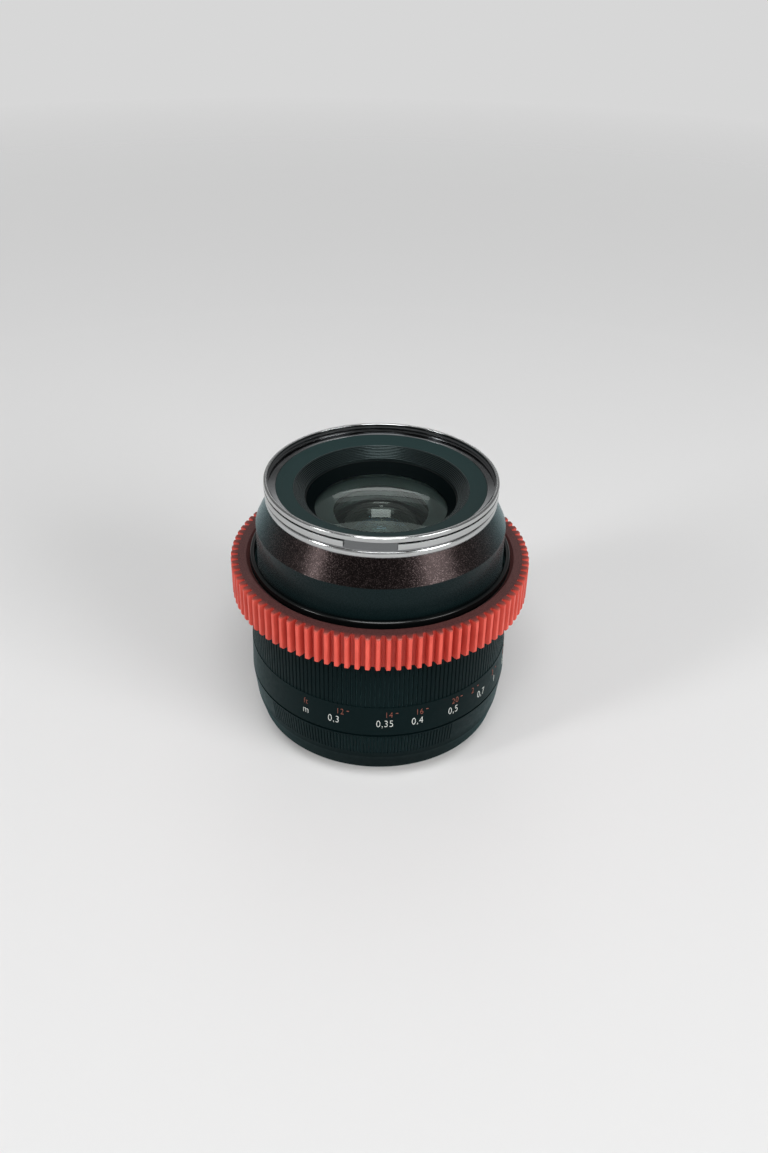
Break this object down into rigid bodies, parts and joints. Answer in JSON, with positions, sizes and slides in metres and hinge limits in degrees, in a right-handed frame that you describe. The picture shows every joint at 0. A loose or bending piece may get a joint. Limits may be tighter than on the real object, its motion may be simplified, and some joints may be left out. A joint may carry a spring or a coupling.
{
  "type": "wide-angle prime lens",
  "caption": "Manual focus wide-angle camera lens with a toothed follow focus ring, ribbed grip, distance scale, polished filter ring and bayonet mount.",
  "frame": {"origin": "bottom centre of the part, at the rear end of the bayonet tube on the optical axis", "axes": "+Z along the optical axis towards the front glass and the filter ring, -Y towards the near end of the distance scale that faces the camera in the picture"},
  "size_m": [0.0784, 0.0784, 0.0753],
  "materials": {
    "barrel_black": "satin black green anodising",
    "front_black": "satin brown black anodising",
    "inner_black": "matt black",
    "polished_chrome": "polished",
    "gear_red": "satin red anodising",
    "bare_aluminium": "satin",
    "bare_brass": "machined",
    "steel": "satin",
    "blade_black": "dry black",
    "coated_glass": "polished and coated",
    "contact_gold": "plated",
    "black_plastic": "matt",
    "board_green": "solder mask",
    "dot_red": "gloss"
  },
  "bodies": {
    "mount_body": {"rear_barrel": "barrel_black", "guide_sleeve": "bare_aluminium", "guide_keys": "bare_brass", "focus_retainer": "bare_aluminium", "focus_stop": "steel", "mount_shim": "steel", "mount_flange": "polished_chrome", "mount_screws": "steel", "rear_baffle": "black_plastic", "contact_block": "black_plastic", "contact_pins": "contact_gold", "contact_screws": "steel", "circuit_board": "board_green", "board_chips": "black_plastic", "index_dot": "dot_red"},
    "focus_body": {"focus_ring": "barrel_black", "helicoid_nut": "bare_brass", "gear_ring": "gear_red", "nut_screws": "steel", "stop_pin": "steel"},
    "front_body": {"filter_ring": "polished_chrome", "front_barrel": "front_black", "name_ring": "inner_black", "ridged_baffle": "inner_black", "front_retainer": "inner_black", "front_cell": "inner_black", "lens_barrel": "bare_aluminium", "barrel_screws": "steel", "lens_spacers": "inner_black", "rear_cell": "inner_black", "rear_retainer": "inner_black", "iris_housing": "inner_black", "iris_cover": "inner_black", "stepper_motor": "steel", "motor_bracket": "steel", "motor_screws": "steel", "element_1": "coated_glass", "element_2": "coated_glass", "element_3": "coated_glass", "element_4": "coated_glass", "element_5": "coated_glass", "element_6": "coated_glass", "element_7": "coated_glass", "element_8": "coated_glass", "element_9": "coated_glass"},
    "cam_body": {"iris_cam_ring": "inner_black"},
    "pinion_body": {"motor_pinion": "bare_brass"},
    "blade_body_1": {"iris_blade_1": "blade_black"},
    "blade_body_2": {"iris_blade_2": "blade_black"},
    "blade_body_3": {"iris_blade_3": "blade_black"},
    "blade_body_4": {"iris_blade_4": "blade_black"},
    "blade_body_5": {"iris_blade_5": "blade_black"},
    "blade_body_6": {"iris_blade_6": "blade_black"},
    "blade_body_7": {"iris_blade_7": "blade_black"},
    "blade_body_8": {"iris_blade_8": "blade_black"},
    "blade_body_9": {"iris_blade_9": "blade_black"}
  },
  "joints": [
    {"name": "focus_turn", "type": "hinge", "parent": "mount_body", "child": "focus_body", "pos_m": [0, 0, 0.03], "axis": [0, 0, 1], "range_deg": [0, 126]},
    {"name": "front_extend", "type": "slide", "parent": "mount_body", "child": "front_body", "axis": [0, 0, 1], "range_m": [0, 0.0054]},
    {"name": "iris_turn", "type": "hinge", "parent": "front_body", "child": "cam_body", "pos_m": [0, 0, 0.036], "axis": [0, 0, 1], "range_deg": [0, 28]},
    {"name": "pinion_spin", "type": "hinge", "parent": "front_body", "child": "pinion_body", "pos_m": [-0.0203, -0.00739, 0.036], "axis": [0, 0, 1], "range_deg": [-308, 0]},
    {"name": "blade_swing_1", "type": "hinge", "parent": "front_body", "child": "blade_body_1", "pos_m": [0.0166, 0, 0.0375], "axis": [0, 0, 1], "range_deg": [0, 28]},
    {"name": "blade_swing_2", "type": "hinge", "parent": "front_body", "child": "blade_body_2", "pos_m": [0.01272, 0.01067, 0.0375], "axis": [0, 0, 1], "range_deg": [0, 28]},
    {"name": "blade_swing_3", "type": "hinge", "parent": "front_body", "child": "blade_body_3", "pos_m": [0.00288, 0.01635, 0.0375], "axis": [0, 0, 1], "range_deg": [0, 28]},
    {"name": "blade_swing_4", "type": "hinge", "parent": "front_body", "child": "blade_body_4", "pos_m": [-0.0083, 0.01438, 0.0375], "axis": [0, 0, 1], "range_deg": [0, 28]},
    {"name": "blade_swing_5", "type": "hinge", "parent": "front_body", "child": "blade_body_5", "pos_m": [-0.0156, 0.00568, 0.0375], "axis": [0, 0, 1], "range_deg": [0, 28]},
    {"name": "blade_swing_6", "type": "hinge", "parent": "front_body", "child": "blade_body_6", "pos_m": [-0.0156, -0.00568, 0.0375], "axis": [0, 0, 1], "range_deg": [0, 28]},
    {"name": "blade_swing_7", "type": "hinge", "parent": "front_body", "child": "blade_body_7", "pos_m": [-0.0083, -0.01438, 0.0375], "axis": [0, 0, 1], "range_deg": [0, 28]},
    {"name": "blade_swing_8", "type": "hinge", "parent": "front_body", "child": "blade_body_8", "pos_m": [0.00288, -0.01635, 0.0375], "axis": [0, 0, 1], "range_deg": [0, 28]},
    {"name": "blade_swing_9", "type": "hinge", "parent": "front_body", "child": "blade_body_9", "pos_m": [0.01272, -0.01067, 0.0375], "axis": [0, 0, 1], "range_deg": [0, 28]}
  ],
  "couplings": [
    {"joint": "front_extend", "follows": "focus_turn", "m_per_rad": 0.0024555},
    {"joint": "pinion_spin", "follows": "iris_turn", "ratio": -11},
    {"joint": "blade_swing_1", "follows": "iris_turn", "ratio": 1},
    {"joint": "blade_swing_2", "follows": "iris_turn", "ratio": 1},
    {"joint": "blade_swing_3", "follows": "iris_turn", "ratio": 1},
    {"joint": "blade_swing_4", "follows": "iris_turn", "ratio": 1},
    {"joint": "blade_swing_5", "follows": "iris_turn", "ratio": 1},
    {"joint": "blade_swing_6", "follows": "iris_turn", "ratio": 1},
    {"joint": "blade_swing_7", "follows": "iris_turn", "ratio": 1},
    {"joint": "blade_swing_8", "follows": "iris_turn", "ratio": 1},
    {"joint": "blade_swing_9", "follows": "iris_turn", "ratio": 1}
  ]
}
